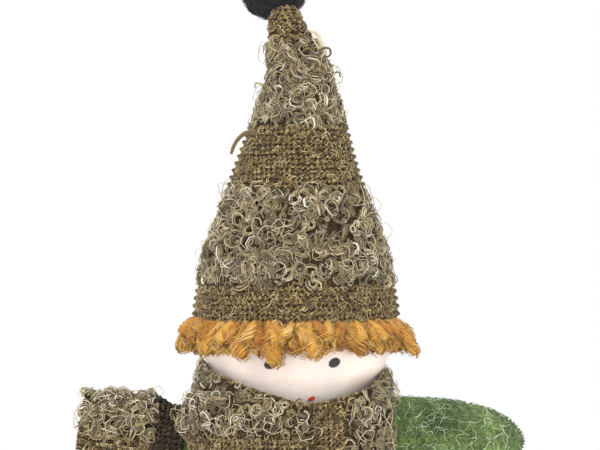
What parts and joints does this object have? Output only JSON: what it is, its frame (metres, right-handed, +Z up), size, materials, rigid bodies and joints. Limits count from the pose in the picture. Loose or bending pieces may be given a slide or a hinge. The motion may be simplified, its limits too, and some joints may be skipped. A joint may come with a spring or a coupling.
{
  "type": "gnome doll",
  "caption": "Hand-sewn tomte gnome doll that stands on a weighted base, with a pointed knitted hat and felt ball, curly hair, a wrapped scarf and posable felted-wool arms.",
  "frame": {"origin": "centre of the flat base, where the doll stands on a table", "axes": "+Z up through the neck and hat, the face looks along -Y, and the doll's own left arm points along +X"},
  "size_m": [0.2248, 0.118, 0.3345],
  "materials": {
    "felt_green": "needle-felted wool, mottled moss green, fibrous and matte",
    "felt_black": "smooth black wool felt, matte",
    "jersey_skin": "pale doll jersey, soft and matte",
    "knit_olive": "plain wool knit, olive brown with darker and golden flecks",
    "knit_boucle": "bouclé knit with curled loops and pale stray fibres over plain bands",
    "hair_ginger": "curled mohair locks, ginger, silky",
    "thread_black": "cotton embroidery thread",
    "thread_red": "cotton embroidery thread",
    "thread_green": "polyester sewing thread",
    "thread_olive": "polyester sewing thread",
    "stuffing_white": "carded wool filling",
    "cotton_tape": "unbleached cotton",
    "card": "grey-brown card"
  },
  "bodies": {
    "body": {"coat_front": "felt_green", "coat_back": "felt_green", "coat_base": "felt_green", "base_board": "card", "ballast_bag": "cotton_tape", "body_stuffing": "stuffing_white", "base_seam_thread": "thread_green", "side_seam_thread_left": "thread_green", "side_seam_thread_right": "thread_green", "scarf_wrap": "knit_boucle", "scarf_tack_thread": "thread_olive"},
    "arm_left": {"arm_left_front": "felt_green", "arm_left_back": "felt_green", "arm_left_stuffing": "stuffing_white", "arm_left_seam_thread": "thread_green"},
    "arm_right": {"arm_right_front": "felt_green", "arm_right_back": "felt_green", "arm_right_stuffing": "stuffing_white", "arm_right_seam_thread": "thread_green"},
    "scarf_side": {"scarf_side_end": "knit_boucle"},
    "scarf_front": {"scarf_front_end": "knit_boucle"},
    "head": {"head_skin": "jersey_skin", "head_stuffing": "stuffing_white", "eye_left": "thread_black", "eye_right": "thread_black", "mouth_stitch": "thread_red", "neck_tie_thread": "thread_olive", "hair_tape": "cotton_tape", "hair_fringe": "hair_ginger", "hat_front": "knit_olive", "hat_back": "knit_olive", "hat_stuffing": "stuffing_white", "hat_seam_thread_left": "thread_olive", "hat_seam_thread_right": "thread_olive"},
    "bobble": {"bobble_ball": "felt_black", "bobble_thread": "thread_black"}
  },
  "joints": [
    {"name": "shoulder_left", "type": "hinge", "parent": "body", "child": "arm_left", "pos_m": [0.047, 0.005, 0.089], "axis": [0, -1, 0], "range_deg": [-35, 22]},
    {"name": "shoulder_right", "type": "hinge", "parent": "body", "child": "arm_right", "pos_m": [-0.043, 0.005, 0.082], "axis": [0, 1, 0], "range_deg": [-30, 10]},
    {"name": "head_turn", "type": "hinge", "parent": "body", "child": "head", "pos_m": [0, 0, 0.1], "axis": [0, 0, 1], "range_deg": [-25, 25]},
    {"name": "bobble_tip", "type": "hinge", "parent": "head", "child": "bobble", "pos_m": [-0.00654, 0.00307, 0.30374], "axis": [0, 1, 0], "range_deg": [-8, 25], "stiffness_Nm_per_rad": 0.02, "springref_deg": 0.57},
    {"name": "scarf_side_lift", "type": "hinge", "parent": "arm_right", "child": "scarf_side", "pos_m": [-0.0515, 0.005, 0.1075], "axis": [0, 1, 0], "range_deg": [0, 25]},
    {"name": "scarf_front_lift", "type": "hinge", "parent": "body", "child": "scarf_front", "pos_m": [0.029, -0.0487, 0.0816], "axis": [-1, 0, 0], "range_deg": [0, 60]}
  ]
}
